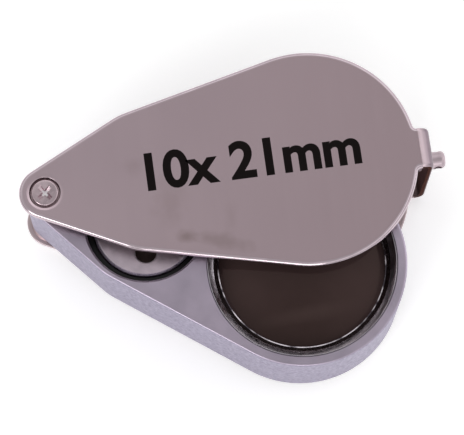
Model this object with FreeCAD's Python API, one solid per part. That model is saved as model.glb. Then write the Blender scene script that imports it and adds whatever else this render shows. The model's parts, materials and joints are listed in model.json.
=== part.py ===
"""A pocket folding loupe: a sheet metal cover that folds round a cast lens body with a 21 mm triplet,
a battery well and a small lamp. Millimetres, +Z up, one STEP file per piece.

The origin lies on the cover's outer bottom face, on the lens axis of the closed loupe. +X points to the
strap at the cover's wide end. Every piece is drawn with the pivot axis at X 0 and the loupe closed. The
pieces of the lens body are then swung open, and everything is moved to the origin.
"""
import FreeCAD, Part

import math
import os

# Cover: one plated sheet, two drop-shaped plates joined by a strap. Circles are (centre X, radius).
cover_height = 17.2
sheet = 0.8
mid_z = cover_height / 2
lens_x = 33.4
cover_circles = [(0.0, 3.3), (13.5, 9.3), (lens_x, 13.9)]
plate_edge_round = 0.5
strap_outer_x = 49.05
strap_width = 5.2
strap_offset_y = -0.5
strap_bend = 1.5
strap_root_overlap = 3.4

# Dimples that carry the pivot screw and bear on the washers.
dimple_floor_r = 1.9
dimple_mouth_r = 2.3
dimple_outer_r = 2.8
dimple_mouth_round = 0.35

# Lens body: a cast plate with three bores.
body_high = 15.2
body_low = cover_height - body_high
body_circles = [(0.0, 2.6), (12.7, 8.25), (lens_x, 13.2)]
body_edge_round = 0.25
open_angle = 22.5

# Pivot.
barrel_r = 1.25
pivot_bore_r = 1.30
screw_shank_r = 0.78
barrel_thread_r = 0.80
screw_hole_r = 0.85
screw_head_r = 1.68
screw_head_inset = 0.05
screw_head_round = 0.2
screw_recess_depth = 0.5
screw_recess_length = 2.1
screw_recess_width = 0.5
screw_recess_angle = 20.0
barrel_slot_width = 0.5
barrel_slot_depth = 0.4
screw_tip_z = 6.0
barrel_blind_z = 5.0
washer_r = 2.2
washer_gap = 0.03
washer_thickness = 0.30

# Lanyard stud on the strap.
stud_r = 1.12
stud_length = 2.4
stud_y = -0.38
stud_end_round = 0.55
stud_tail_r = 0.7
stud_rivet_r = 1.15
stud_rivet_height = 0.3
lanyard_hole_r = 0.55
lanyard_hole_from_strap = 1.35

# Lens: three cemented elements in a cell, held by two threaded rings.
lens_r = 11.0
clear_r = 10.5
outer_surface_r = 40.0
cemented_surface_r = 17.0
middle_edge = 0.3
meniscus_centre = 1.2
cell_outer_r = 11.6
cell_inner_r = 11.02
lens_bore_r = 12.0
land_half_height = 4.03
ring_outer_r = 11.95
ring_mouth_inset = 0.1
ring_bevel_depth = 1.4
ring_knee_r = 11.16
ring_knee_depth = 0.82

# Battery well, its plastic sleeve, three button cells of the 11.6 x 3.05 mm size, and the cap.
well_x = 13.0
well_r = 7.55
well_floor = 2.7
well_mouth_chamfer = 0.25
sleeve_r = 7.5
sleeve_inner_r = 5.9
sleeve_top = 13.1
cell_count = 3
cell_r = 5.8
cell_height = 3.05
cell_button_r = 5.0
cell_button_height = 0.3
cell_edge_round = 0.2
spring_height = 0.65
spring_low_r = 4.5
spring_high_r = 1.4
spring_sheet = 0.2
contact_plate_r = 5.6
contact_plate_height = 0.2
cap_r = 6.65
cap_thread_bore_r = 6.7
cap_thickness = 1.0
cap_skirt_depth = 1.2
cap_skirt_inner_r = 6.1
cap_skirt_gap = 0.1
cap_chamfer = 0.2
spanner_hole_r = 1.35
spanner_hole_depth = 0.7
spanner_hole_from_centre = 3.6
spanner_hole_angle = -74.0

# Lamp in the web between the two bores, on the side away from the reader.
lamp_x = 20.9
lamp_y = 7.2
lamp_r = 1.5
lamp_bore_r = 1.55
lamp_bore_top = 8.6
lamp_top = 7.2
lamp_dome_low = 2.95
bezel_r = 1.95
bezel_inner_r = 1.15
bezel_height = 0.8
bezel_chamfer = 0.4
lead_r = 0.25
lead_spacing = 0.9
lead_bore_r = 0.4
strip_thickness = 0.25
strip_width = 1.1
strip_low = 7.5
strip_high = 12.9
strip_slot_width = 1.4
strip_slot_margin = 0.3
strip_slot_height = 1.1
strip_thread_gap = 0.05
strip_lead_gap = 0.3

# Push button for the lamp. Depths run inwards from the body's side wall.
button_z = 11.8
button_bore_r = 1.6
button_bore_depth = 3.4
button_bush_r = 1.58
button_bush_inner_r = 1.15
button_bush_depth = 1.0
button_bush_proud = 0.15
button_r = 1.08
button_proud = 0.9
button_flange_r = 1.45
button_flange_height = 0.55
button_travel = 0.6
button_seat_gap = 0.05
button_spring_r = 0.95
button_spring_inner_r = 0.6
switch_contact_r = 1.2
switch_contact_height = 0.2

# How far a cut runs on past the face that it opens, and the tolerance for finding edges.
cut_overlap = 1.0
TINY = 1e-6
UP = FreeCAD.Vector(0, 0, 1)


def point(x, y, z):
    return FreeCAD.Vector(x, y, z)


def cylinder(radius, low, high, x=0.0, y=0.0):
    """An upright cylinder between two heights."""
    return Part.makeCylinder(radius, high - low, point(x, y, low), UP)


def tube(outer_r, inner_r, low, high, x=0.0, y=0.0):
    """An upright ring between two heights."""
    return cylinder(outer_r, low, high, x, y).cut(cylinder(inner_r, low, high, x, y))


def revolved(edges, x=0.0):
    """A solid of revolution about an upright axis from edges drawn in the XZ plane."""
    face = Part.Face(Part.Wire(edges))
    solid = face.revolve(point(0, 0, 0), UP, 360)
    solid.translate(point(x, 0, 0))
    return solid


def polygon_edges(corners):
    """Straight edges round a closed outline, given as (radius, height) pairs."""
    nodes = [point(r, 0, z) for r, z in corners]
    return [Part.LineSegment(a, b).toShape() for a, b in zip(nodes, nodes[1:] + nodes[:1])]


def tangent_angle(first, second):
    """The slope of the line that touches two circles on their upper side, in radians."""
    return math.asin((second[1] - first[1]) / (second[0] - first[0]))


def on_circle(circle, angle, side=1):
    """The point of a circle that faces angle, measured from +Y towards -X, on one side of the axis."""
    x, radius = circle
    return point(x - radius * math.sin(angle), side * radius * math.cos(angle), 0)


def drop_face(circles, z):
    """The outline that wraps three circles on the X axis, with straight sides between them."""
    small, middle, large = circles
    steep = tangent_angle(small, middle)
    shallow = tangent_angle(middle, large)
    between = (steep + shallow) / 2
    edges = [
        Part.LineSegment(on_circle(small, steep), on_circle(middle, steep)),
        Part.Arc(on_circle(middle, steep), on_circle(middle, between), on_circle(middle, shallow)),
        Part.LineSegment(on_circle(middle, shallow), on_circle(large, shallow)),
        Part.Arc(on_circle(large, shallow), point(large[0] + large[1], 0, 0), on_circle(large, shallow, -1)),
        Part.LineSegment(on_circle(large, shallow, -1), on_circle(middle, shallow, -1)),
        Part.Arc(on_circle(middle, shallow, -1), on_circle(middle, between, -1), on_circle(middle, steep, -1)),
        Part.LineSegment(on_circle(middle, steep, -1), on_circle(small, steep, -1)),
        Part.Arc(on_circle(small, steep, -1), point(-small[1], 0, 0), on_circle(small, steep)),
    ]
    face = Part.Face(Part.Wire([edge.toShape() for edge in edges]))
    face.translate(point(0, 0, z))
    return face


def edges_at_height(shape, z):
    """The edges that lie flat at one height."""
    return [e for e in shape.Edges if all(abs(v.Z - z) < TINY for v in e.Vertexes)]


def upside_down(shape):
    """The same shape turned over about the loupe's middle height."""
    return shape.mirror(point(0, 0, mid_z), UP)


def wall_frame():
    """The side wall's outward direction and the point on it that the button's axis leaves from."""
    slope = tangent_angle(body_circles[1], body_circles[2])
    outward = point(-math.sin(slope), math.cos(slope), 0)
    wall_distance = outward.x * body_circles[1][0] + body_circles[1][1]
    inside = point(lamp_x, lamp_y, button_z)
    reach = wall_distance - (outward.x * lamp_x + outward.y * lamp_y)
    return inside + outward * reach, outward


def along_button(radius, low, high):
    """A cylinder on the button's axis between two distances from the wall, outwards positive."""
    start, outward = wall_frame()
    return Part.makeCylinder(radius, high - low, start + outward * low, outward)


def cover_plate(low, outer_z):
    """One drop-shaped plate with its outer edge rounded."""
    plate = drop_face(cover_circles, low).extrude(UP * sheet)
    plate = plate.makeFillet(plate_edge_round, edges_at_height(plate, outer_z))
    return plate.cut(cylinder(dimple_outer_r, low, low + sheet))


def strap():
    """The narrow band that joins the plates round the wide end."""
    root_x = lens_x + cover_circles[2][1] - strap_root_overlap
    bend_x = strap_outer_x - strap_bend
    inner_bend = strap_bend - sheet
    diagonal = math.sqrt(0.5)
    top = cover_height
    outer_top = point(bend_x + strap_bend * diagonal, 0, top - strap_bend * (1 - diagonal))
    outer_low = point(bend_x + strap_bend * diagonal, 0, strap_bend * (1 - diagonal))
    inner_top = point(bend_x + inner_bend * diagonal, 0, top - strap_bend + inner_bend * diagonal)
    inner_low = point(bend_x + inner_bend * diagonal, 0, strap_bend - inner_bend * diagonal)
    corners = [
        point(root_x, 0, top),
        point(bend_x, 0, top),
        point(strap_outer_x, 0, top - strap_bend),
        point(strap_outer_x, 0, strap_bend),
        point(bend_x, 0, 0),
        point(root_x, 0, 0),
        point(root_x, 0, sheet),
        point(bend_x, 0, sheet),
        point(strap_outer_x - sheet, 0, strap_bend),
        point(strap_outer_x - sheet, 0, top - strap_bend),
        point(bend_x, 0, top - sheet),
        point(root_x, 0, top - sheet),
    ]
    bends = {1: outer_top, 3: outer_low, 7: inner_low, 9: inner_top}
    edges = []
    for i, start in enumerate(corners):
        end = corners[(i + 1) % len(corners)]
        if i in bends:
            edges.append(Part.Arc(start, bends[i], end).toShape())
        else:
            edges.append(Part.LineSegment(start, end).toShape())
    band = Part.Face(Part.Wire(edges)).extrude(point(0, strap_width, 0))
    band.translate(point(0, strap_offset_y - strap_width / 2, 0))
    return band


def top_dimple():
    """The upper plate's pressed recess, whose flat underside bears on the washer."""
    under = body_high + washer_thickness + 2 * washer_gap
    floor = under + sheet
    plate_under = cover_height - sheet
    mouth = cover_height
    round_r = dimple_mouth_round
    arc_middle = point(
        dimple_mouth_r - round_r * math.sqrt(0.5), 0, mouth - round_r * (1 - math.sqrt(0.5)))
    corners = [
        (dimple_mouth_r - round_r, mouth - round_r),
        (dimple_floor_r, floor),
        (screw_hole_r, floor),
        (screw_hole_r, under),
        (dimple_mouth_r, under),
        (dimple_outer_r, plate_under),
        (dimple_outer_r, mouth),
        (dimple_mouth_r, mouth),
    ]
    nodes = [point(r, 0, z) for r, z in corners]
    edges = [Part.LineSegment(a, b).toShape() for a, b in zip(nodes, nodes[1:])]
    edges.append(Part.Arc(nodes[-1], arc_middle, nodes[0]).toShape())
    return revolved(edges)


def folding_cover():
    """The whole cover: two plates, the strap and the two dimples."""
    upper = top_dimple()
    lower = upside_down(upper).cut(cylinder(barrel_r + washer_gap, 0, body_low))
    cover = cover_plate(cover_height - sheet, cover_height)
    cover = cover.fuse([cover_plate(0, 0), strap(), upper, lower])
    hole_start = point(strap_outer_x - 2 * sheet, stud_y, mid_z)
    cover = cover.cut(Part.makeCylinder(stud_tail_r, 3 * sheet, hole_start, point(1, 0, 0)))
    return cover.removeSplitter()


def cross_recess():
    """Two crossed slots in the screw's head."""
    top = cover_height - screw_head_inset
    low = top - screw_recess_depth
    corner = point(-screw_recess_length / 2, -screw_recess_width / 2, low)
    arm = Part.makeBox(screw_recess_length, screw_recess_width, screw_recess_depth, corner)
    crossing = arm.copy()
    crossing.rotate(point(0, 0, 0), UP, 90)
    return arm.fuse(crossing)


def pivot_screw():
    """Cross-head screw from above, threaded into the barrel."""
    seat = body_high + washer_thickness + 2 * washer_gap + sheet
    top = cover_height - screw_head_inset
    head = cylinder(screw_head_r, seat, top)
    head = head.makeFillet(screw_head_round, edges_at_height(head, top))
    shank = cylinder(screw_shank_r, screw_tip_z, seat)
    screw = head.fuse(shank).cut(cross_recess())
    screw.rotate(point(0, 0, 0), UP, screw_recess_angle)
    return screw.removeSplitter()


def pivot_barrel():
    """Barrel nut from below, the plain shaft that the lens body turns on."""
    seat = cover_height - (body_high + washer_thickness + 2 * washer_gap + sheet)
    head = cylinder(screw_head_r, screw_head_inset, seat)
    top = body_high + washer_thickness + washer_gap
    shaft = cylinder(barrel_r, seat, top)
    barrel = head.fuse(shaft).cut(cylinder(barrel_thread_r, barrel_blind_z, top))
    slot = Part.makeBox(
        2 * screw_head_r, barrel_slot_width, barrel_slot_depth, point(-screw_head_r, -barrel_slot_width / 2, 0))
    return barrel.cut(slot).removeSplitter()


def upper_friction_washer():
    """Thin washer between the upper dimple and the lens body."""
    low = body_high + washer_gap
    return tube(washer_r, pivot_bore_r, low, low + washer_thickness)


def lower_friction_washer():
    """Thin washer between the lower dimple and the lens body."""
    high = body_low - washer_gap
    return tube(washer_r, pivot_bore_r, high - washer_thickness, high)


def lanyard_stud():
    """Round stud riveted through the strap, with a cross hole for a thin cord or split ring."""
    along = point(1, 0, 0)
    base = point(strap_outer_x, stud_y, mid_z)
    post = Part.makeCylinder(stud_r, stud_length, base, along)
    tip_x = strap_outer_x + stud_length
    tip = [e for e in post.Edges if all(abs(v.X - tip_x) < TINY for v in e.Vertexes)]
    post = post.makeFillet(stud_end_round, tip)
    tail = Part.makeCylinder(stud_tail_r, sheet, base - along * sheet, along)
    rivet = Part.makeCylinder(stud_rivet_r, stud_rivet_height, base - along * (sheet + stud_rivet_height), along)
    hole_x = strap_outer_x + lanyard_hole_from_strap
    hole = Part.makeCylinder(
        lanyard_hole_r, 4 * stud_r, point(hole_x, stud_y - 2 * stud_r, mid_z), point(0, 1, 0))
    return post.fuse([tail, rivet]).cut(hole).removeSplitter()


def strip_channel():
    """The passage from the lamp's bore into the battery well."""
    reach_x = lamp_x - well_x
    angle = math.degrees(math.atan2(lamp_y, reach_x))
    length = math.hypot(reach_x, lamp_y)
    start = well_r - cut_overlap
    channel = Part.makeBox(
        length - start, strip_slot_width, strip_slot_height,
        point(start, -strip_slot_width / 2, strip_low - strip_slot_margin))
    channel.rotate(point(0, 0, 0), UP, angle)
    channel.translate(point(well_x, 0, 0))
    return channel


def lens_frame():
    """The cast body with its lens bore, battery well, pivot bore, lamp bore and button bore."""
    frame = drop_face(body_circles, body_low).extrude(UP * (body_high - body_low))
    rims = edges_at_height(frame, body_low) + edges_at_height(frame, body_high)
    frame = frame.makeFillet(body_edge_round, rims)
    mouth = Part.makeCone(
        well_r, well_r + well_mouth_chamfer, well_mouth_chamfer,
        point(well_x, 0, body_high - well_mouth_chamfer), UP)
    cuts = [
        cylinder(pivot_bore_r, body_low, body_high),
        cylinder(cell_outer_r, body_low, body_high, lens_x),
        cylinder(lens_bore_r, mid_z + land_half_height, body_high, lens_x),
        cylinder(lens_bore_r, body_low, mid_z - land_half_height, lens_x),
        cylinder(well_r, well_floor, body_high, well_x),
        mouth,
        cylinder(lamp_bore_r, body_low, lamp_bore_top, lamp_x, lamp_y),
        cylinder(bezel_r, body_low, body_low + bezel_height, lamp_x, lamp_y),
        cylinder(lead_bore_r, lamp_bore_top, button_z, lamp_x, lamp_y),
        strip_channel(),
        along_button(button_bore_r, -button_bore_depth, cut_overlap),
    ]
    return frame.cut(cuts).removeSplitter()


def lens_ring():
    """The upper threaded ring: a polished bevel in two slopes, then a straight bore down to the glass."""
    seat = mid_z + land_half_height
    mouth = body_high - ring_mouth_inset
    corners = [
        (clear_r, seat),
        (ring_outer_r, seat),
        (ring_outer_r, mouth),
        (ring_knee_r, mouth - ring_knee_depth),
        (clear_r, mouth - ring_bevel_depth),
    ]
    return revolved(polygon_edges(corners), lens_x)


def upper_lens_ring():
    return lens_ring()


def lower_lens_ring():
    return upside_down(lens_ring())


def lens_cell():
    """The sleeve that centres the glass between the two threaded rings."""
    return tube(cell_outer_r, cell_inner_r, mid_z - land_half_height, mid_z + land_half_height, lens_x)


def surface_arc(radius, apex_z, edge_r):
    """A cap line that starts on the axis at apex_z and bends down to edge_r."""
    half = math.asin(edge_r / radius) / 2
    centre_z = apex_z - radius
    middle = point(radius * math.sin(half), 0, centre_z + radius * math.cos(half))
    end = point(edge_r, 0, centre_z + radius * math.cos(2 * half))
    return Part.Arc(point(0, 0, apex_z), middle, end), end


def middle_apex_z():
    """The height where the middle element's upper surface crosses the lens axis."""
    sag = cemented_surface_r - math.sqrt(cemented_surface_r ** 2 - lens_r ** 2)
    return mid_z + middle_edge / 2 + sag


def middle_lens_element():
    """The double-convex middle glass."""
    upper, rim = surface_arc(cemented_surface_r, middle_apex_z(), lens_r)
    equator = point(lens_r, 0, mid_z)
    edges = [
        upper.toShape(),
        Part.LineSegment(rim, equator).toShape(),
        Part.LineSegment(equator, point(0, 0, mid_z)).toShape(),
        Part.LineSegment(point(0, 0, mid_z), point(0, 0, middle_apex_z())).toShape(),
    ]
    half = revolved(edges, lens_x)
    return half.fuse(upside_down(half)).removeSplitter()


def upper_lens_element():
    """The outer meniscus glass, cemented to the middle one."""
    inner, inner_rim = surface_arc(cemented_surface_r, middle_apex_z(), lens_r)
    apex = middle_apex_z() + meniscus_centre
    outer, outer_rim = surface_arc(outer_surface_r, apex, lens_r)
    edges = [
        inner.toShape(),
        Part.LineSegment(inner_rim, outer_rim).toShape(),
        outer.toShape(),
        Part.LineSegment(point(0, 0, apex), point(0, 0, middle_apex_z())).toShape(),
    ]
    return revolved(edges, lens_x)


def lower_lens_element():
    return upside_down(upper_lens_element())


def cell_stack_low():
    """The height of the lowest button cell's underside."""
    return well_floor + spring_height


def battery_sleeve():
    """Black insulating sleeve: plain round the cells, wider at the top for the cap's thread."""
    thread_low = cap_low() - cap_skirt_depth - cap_skirt_gap
    sleeve = tube(sleeve_r, sleeve_inner_r, well_floor, sleeve_top, well_x)
    sleeve = sleeve.cut(cylinder(cap_thread_bore_r, thread_low, sleeve_top, well_x))
    slot = Part.makeBox(
        sleeve_r - sleeve_inner_r + cut_overlap, strip_slot_width, strip_high - strip_low + 2 * strip_slot_margin,
        point(sleeve_inner_r + strip_slot_margin, -strip_slot_width / 2, strip_low - strip_slot_margin))
    slot.rotate(point(0, 0, 0), UP, math.degrees(math.atan2(lamp_y, lamp_x - well_x)))
    slot.translate(point(well_x, 0, 0))
    return sleeve.cut(slot)


def button_cell(index):
    """One button cell: a wide can with its smaller contact button underneath."""
    low = cell_stack_low() + index * cell_height
    contact = cylinder(cell_button_r, low, low + cell_button_height, well_x)
    can = cylinder(cell_r, low + cell_button_height, low + cell_height, well_x)
    can = can.makeFillet(cell_edge_round, edges_at_height(can, low + cell_height))
    return can.fuse(contact).removeSplitter()


def contact_spring():
    """Dished spring on the well's floor that presses the cells upwards."""
    corners = [
        (spring_low_r, well_floor),
        (spring_low_r, well_floor + spring_sheet),
        (spring_high_r, well_floor + spring_height),
        (spring_high_r - spring_sheet, well_floor + spring_height),
        (spring_high_r - spring_sheet, well_floor + spring_height - spring_sheet),
        (spring_low_r - spring_sheet, well_floor),
    ]
    return revolved(polygon_edges(corners), well_x)


def plate_low():
    """The height of the contact plate's underside, on top of the cells."""
    return cell_stack_low() + cell_count * cell_height


def cap_low():
    """The height of the cap's inner face."""
    return plate_low() + contact_plate_height


def cap_contact_plate():
    """Round contact between the top cell and the cap. It lifts with the cap and doesn't turn."""
    return cylinder(contact_plate_r, plate_low(), cap_low(), well_x)


def battery_cap():
    """Screw cap with two spanner holes, a chamfered edge and a threaded skirt."""
    top = cap_low() + cap_thickness
    disc = cylinder(cap_r, cap_low(), top, well_x)
    disc = disc.makeChamfer(cap_chamfer, edges_at_height(disc, top))
    skirt = tube(cap_r, cap_skirt_inner_r, cap_low() - cap_skirt_depth, cap_low(), well_x)
    cap = disc.fuse(skirt)
    for turn in (0, 180):
        angle = math.radians(spanner_hole_angle + turn)
        x = well_x + spanner_hole_from_centre * math.cos(angle)
        y = spanner_hole_from_centre * math.sin(angle)
        cap = cap.cut(cylinder(spanner_hole_r, top - spanner_hole_depth, top, x, y))
    return cap.removeSplitter()


def white_led():
    """Round lamp with its dome facing down."""
    waist = lamp_dome_low + lamp_r
    dome = Part.makeSphere(lamp_r, point(lamp_x, lamp_y, waist))
    dome = dome.common(cylinder(lamp_r, lamp_dome_low, waist, lamp_x, lamp_y))
    return cylinder(lamp_r, waist, lamp_top, lamp_x, lamp_y).fuse(dome).removeSplitter()


def led_bezel():
    """Ring pressed into the mouth of the lamp's bore."""
    high = body_low + bezel_height
    ring = tube(bezel_r, bezel_inner_r, body_low, high, lamp_x, lamp_y)
    return ring.cut(Part.makeCone(
        bezel_inner_r + bezel_chamfer, bezel_inner_r, bezel_chamfer, point(lamp_x, lamp_y, body_low), UP))


def led_anode_lead():
    """Short lead from the lamp to the contact strip."""
    angle = math.atan2(lamp_y, lamp_x - well_x)
    x = lamp_x - lead_spacing * math.cos(angle)
    y = lamp_y - lead_spacing * math.sin(angle)
    return cylinder(lead_r, lamp_top, strip_low, x, y)


def led_cathode_lead():
    """Longer lead from the lamp up to the switch contact."""
    return cylinder(lead_r, lamp_top, button_z - switch_contact_r, lamp_x, lamp_y)


def led_contact_strip():
    """Bent strip from the cap's thread, down the sleeve's slot and out to the lamp's short lead."""
    half = strip_width / 2
    upright_r = cap_thread_bore_r + strip_thread_gap
    upright = Part.makeBox(
        strip_thickness, strip_width, strip_high - strip_low, point(upright_r, -half, strip_low))
    end_r = math.hypot(lamp_x - well_x, lamp_y) - lead_r - strip_lead_gap
    foot = Part.makeBox(end_r - upright_r, strip_width, strip_thickness, point(upright_r, -half, strip_low))
    strip = upright.fuse(foot)
    strip.rotate(point(0, 0, 0), UP, math.degrees(math.atan2(lamp_y, lamp_x - well_x)))
    strip.translate(point(well_x, 0, 0))
    return strip.removeSplitter()


def switch_bush():
    """Guide ring pressed into the side wall round the button."""
    outer = along_button(button_bush_r, -button_bush_depth, button_bush_proud)
    return outer.cut(along_button(button_bush_inner_r, -button_bush_depth, button_bush_proud))


def switch_button():
    """Push button with a flange that keeps it behind its bush."""
    flange_high = -button_bush_depth - button_seat_gap
    stem = along_button(button_r, flange_high, button_proud)
    flange = along_button(button_flange_r, flange_high - button_flange_height, flange_high)
    return stem.fuse(flange).removeSplitter()


def button_spring():
    """Return spring under the button, drawn at its pressed length."""
    low = -button_bore_depth + switch_contact_height
    high = -button_bush_depth - button_seat_gap - button_flange_height - button_travel - button_seat_gap
    return along_button(button_spring_r, low, high).cut(along_button(button_spring_inner_r, low, high))


def switch_contact():
    """Contact disc at the end of the button's bore."""
    return along_button(switch_contact_r, -button_bore_depth, -button_bore_depth + switch_contact_height)


def cover_pieces():
    """The pieces that stay with the cover."""
    return {
        "folding_cover": folding_cover(),
        "pivot_screw": pivot_screw(),
        "pivot_barrel": pivot_barrel(),
        "upper_friction_washer": upper_friction_washer(),
        "lower_friction_washer": lower_friction_washer(),
        "lanyard_stud": lanyard_stud(),
    }


def body_pieces():
    """The pieces that swing with the lens body."""
    pieces = {
        "lens_frame": lens_frame(),
        "upper_lens_ring": upper_lens_ring(),
        "lower_lens_ring": lower_lens_ring(),
        "lens_cell": lens_cell(),
        "upper_lens_element": upper_lens_element(),
        "middle_lens_element": middle_lens_element(),
        "lower_lens_element": lower_lens_element(),
        "battery_sleeve": battery_sleeve(),
        "contact_spring": contact_spring(),
        "cap_contact_plate": cap_contact_plate(),
        "battery_cap": battery_cap(),
        "white_led": white_led(),
        "led_bezel": led_bezel(),
        "led_anode_lead": led_anode_lead(),
        "led_cathode_lead": led_cathode_lead(),
        "led_contact_strip": led_contact_strip(),
        "switch_bush": switch_bush(),
        "switch_button": switch_button(),
        "button_spring": button_spring(),
        "switch_contact": switch_contact(),
    }
    for index, name in enumerate(("lower", "middle", "upper")):
        pieces[name + "_button_cell"] = button_cell(index)
    return pieces


def main():
    os.makedirs("parts", exist_ok=True)
    swinging = body_pieces()
    for shape in swinging.values():
        shape.rotate(point(0, 0, 0), UP, -open_angle)
    everything = {**cover_pieces(), **swinging}
    for name, shape in sorted(everything.items()):
        shape.translate(point(-lens_x, 0, 0))
        shape.exportStep(f"parts/{name}.step")
        print(name, "solids", len(shape.Solids), "valid", shape.isValid(), "volume", round(shape.Volume, 3))


main()
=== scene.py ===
import json
import math

import bmesh
import bpy
from mathutils import Matrix, Vector


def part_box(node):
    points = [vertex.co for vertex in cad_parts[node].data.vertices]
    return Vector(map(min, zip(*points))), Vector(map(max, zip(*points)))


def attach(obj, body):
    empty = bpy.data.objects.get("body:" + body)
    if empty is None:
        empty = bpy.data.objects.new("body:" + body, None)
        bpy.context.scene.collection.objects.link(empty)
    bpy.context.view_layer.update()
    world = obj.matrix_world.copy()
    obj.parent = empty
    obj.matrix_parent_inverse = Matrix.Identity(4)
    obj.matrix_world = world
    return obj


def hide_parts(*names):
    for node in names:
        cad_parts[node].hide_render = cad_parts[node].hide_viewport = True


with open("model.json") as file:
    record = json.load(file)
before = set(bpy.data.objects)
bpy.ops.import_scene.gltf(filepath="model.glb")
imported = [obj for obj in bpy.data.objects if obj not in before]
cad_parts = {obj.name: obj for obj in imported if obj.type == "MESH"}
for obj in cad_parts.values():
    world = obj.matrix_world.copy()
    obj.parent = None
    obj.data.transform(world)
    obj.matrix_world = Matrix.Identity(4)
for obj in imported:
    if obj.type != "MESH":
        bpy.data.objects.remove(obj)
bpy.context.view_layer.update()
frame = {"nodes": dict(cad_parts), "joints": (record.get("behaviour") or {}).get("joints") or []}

# Lengths inside the piece makers are millimetres, with the pivot axis at X 0, Y 0 and the loupe closed.
# Two placements turn them into metres in the shared frame: one for the cover, one for the swung lens body.
# Materials work in the objects' own coordinates, which are metres in the shared frame.
MM = 0.001


def box_mm(node):
    """Lowest and highest corners of a CAD node in millimetres."""
    low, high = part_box(node)
    return low / MM, high / MM


def centre_mm(node):
    """The middle of a CAD node's box in millimetres."""
    low, high = box_mm(node)
    return (low + high) / 2


joints = {joint["name"]: joint for joint in frame["joints"]}
pivot = Vector(joints["lens_swing"]["pos_m"]) / MM
pivot.z = 0
lens_offset = centre_mm("upper_lens_ring") - pivot
open_angle = math.atan2(lens_offset.y, lens_offset.x)
cover_place = Matrix.Scale(MM, 4) @ Matrix.Translation(pivot)
body_place = cover_place @ Matrix.Rotation(open_angle, 4, "Z")

cover_low, cover_high = box_mm("folding_cover")
casting_low, casting_high = box_mm("lens_frame")

# Cover. The sheet's upper face lies a hair low, so that the printed mark fits under the CAD box's top.
HEIGHT = cover_high.z
PLATE_TOP = HEIGHT - 0.01
MARK_Z = HEIGHT - 0.004
SHEET = 0.8
LENS_X = math.hypot(lens_offset.x, lens_offset.y)
WIDE_R = cover_high.y
TIP_R = pivot.x - cover_low.x
COVER_CIRCLES = [(0.0, TIP_R), (13.5, 9.3), (LENS_X, WIDE_R)]
STRAP_X = cover_high.x - pivot.x
STRAP_WIDTH = 5.2
STRAP_Y = -0.5
STRAP_BEND = 1.5
BEND_X = STRAP_X - STRAP_BEND
STRAP_ROOT_ROUND = 0.45
OUTER_ROUND = 0.5
INNER_ROUND = 0.15

# A flat face starts this far inside its rounded edge.
SUPPORT = 0.2

# Lens body.
BODY_LOW = casting_low.z
BODY_HIGH = casting_high.z
BODY_CIRCLES = [(0.0, 2.6), (12.7, 8.25), (LENS_X, 13.2)]
BODY_ROUND = 0.25
MID_Z = HEIGHT / 2


def in_body(point_mm):
    """A point of the shared frame, in millimetres, taken back to the closed lens body's own frame."""
    return Matrix.Rotation(-open_angle, 4, "Z") @ (point_mm - pivot)


WELL_X = in_body(centre_mm("battery_sleeve")).x
LAMP_XY = tuple(in_body(centre_mm("led_bezel")).xy)

# Glass faces: the outer ones are nearly flat, the cemented ones are strongly curved.
GLASS_EDGE_R = 11.0
OUTER_FACE_R = 40.0
CEMENTED_FACE_R = 17.0
GLASS_GAP = 0.01


# ---------------------------------------------------------------- outlines and profiles

def heading(degrees):
    """The unit direction at an angle in the XY plane."""
    return Vector((math.cos(math.radians(degrees)), math.sin(math.radians(degrees))))


def arc(centre, radius, start, end, step=2.5, hollow=False):
    """Points along an arc with their outward normals. hollow turns the normals round."""
    count = max(2, math.ceil(abs(end - start) / step))
    side = -1 if hollow else 1
    found = []
    for i in range(count + 1):
        way = heading(start + (end - start) * i / count)
        found.append((Vector(centre) + way * radius, way * side))
    return found


def side_angle(first, second):
    """The direction, in degrees, that the straight side between two circles faces."""
    return 90 + math.degrees(math.asin((second[1] - first[1]) / (second[0] - first[0])))


def drop_outline(circles):
    """The closed outline round three circles on the X axis, anticlockwise from the wide end."""
    small, middle, large = circles
    steep = side_angle(small, middle)
    shallow = side_angle(middle, large)
    return (
        arc((large[0], 0), large[1], 0, shallow)
        + arc((middle[0], 0), middle[1], shallow, steep)
        + arc((small[0], 0), small[1], steep, 360 - steep, step=6)
        + arc((middle[0], 0), middle[1], 360 - steep, 360 - shallow)
        + arc((large[0], 0), large[1], 360 - shallow, 360)[:-1]
    )


def plate_outline():
    """The cover plate's outline as an open chain, from the strap's +Y side round to its -Y side."""
    small, middle, large = COVER_CIRCLES
    steep = side_angle(small, middle)
    shallow = side_angle(middle, large)
    sides = []
    for side in (1, -1):
        edge_y = STRAP_Y * side + STRAP_WIDTH / 2
        centre_y = edge_y + STRAP_ROOT_ROUND
        reach = large[1] + STRAP_ROOT_ROUND
        centre = (large[0] + math.sqrt(reach ** 2 - centre_y ** 2), centre_y)
        meet = math.degrees(math.asin(centre_y / reach))
        root = [(Vector((BEND_X, edge_y)), Vector((0, 1)))]
        root += arc(centre, STRAP_ROOT_ROUND, 270, 180 + meet, step=12, hollow=True)
        sides.append((root, meet))
    (left, left_meet), (right, right_meet) = sides
    right = [(Vector((p.x, -p.y)), Vector((n.x, -n.y))) for p, n in reversed(right)]
    return (
        left[:-1]
        + arc((large[0], 0), large[1], left_meet, shallow)
        + arc((middle[0], 0), middle[1], shallow, steep)
        + arc((small[0], 0), small[1], steep, 360 - steep, step=6)
        + arc((middle[0], 0), middle[1], 360 - steep, 360 - shallow)
        + arc((large[0], 0), large[1], 360 - shallow, 360 - right_meet)
        + right[1:]
    )


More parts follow.
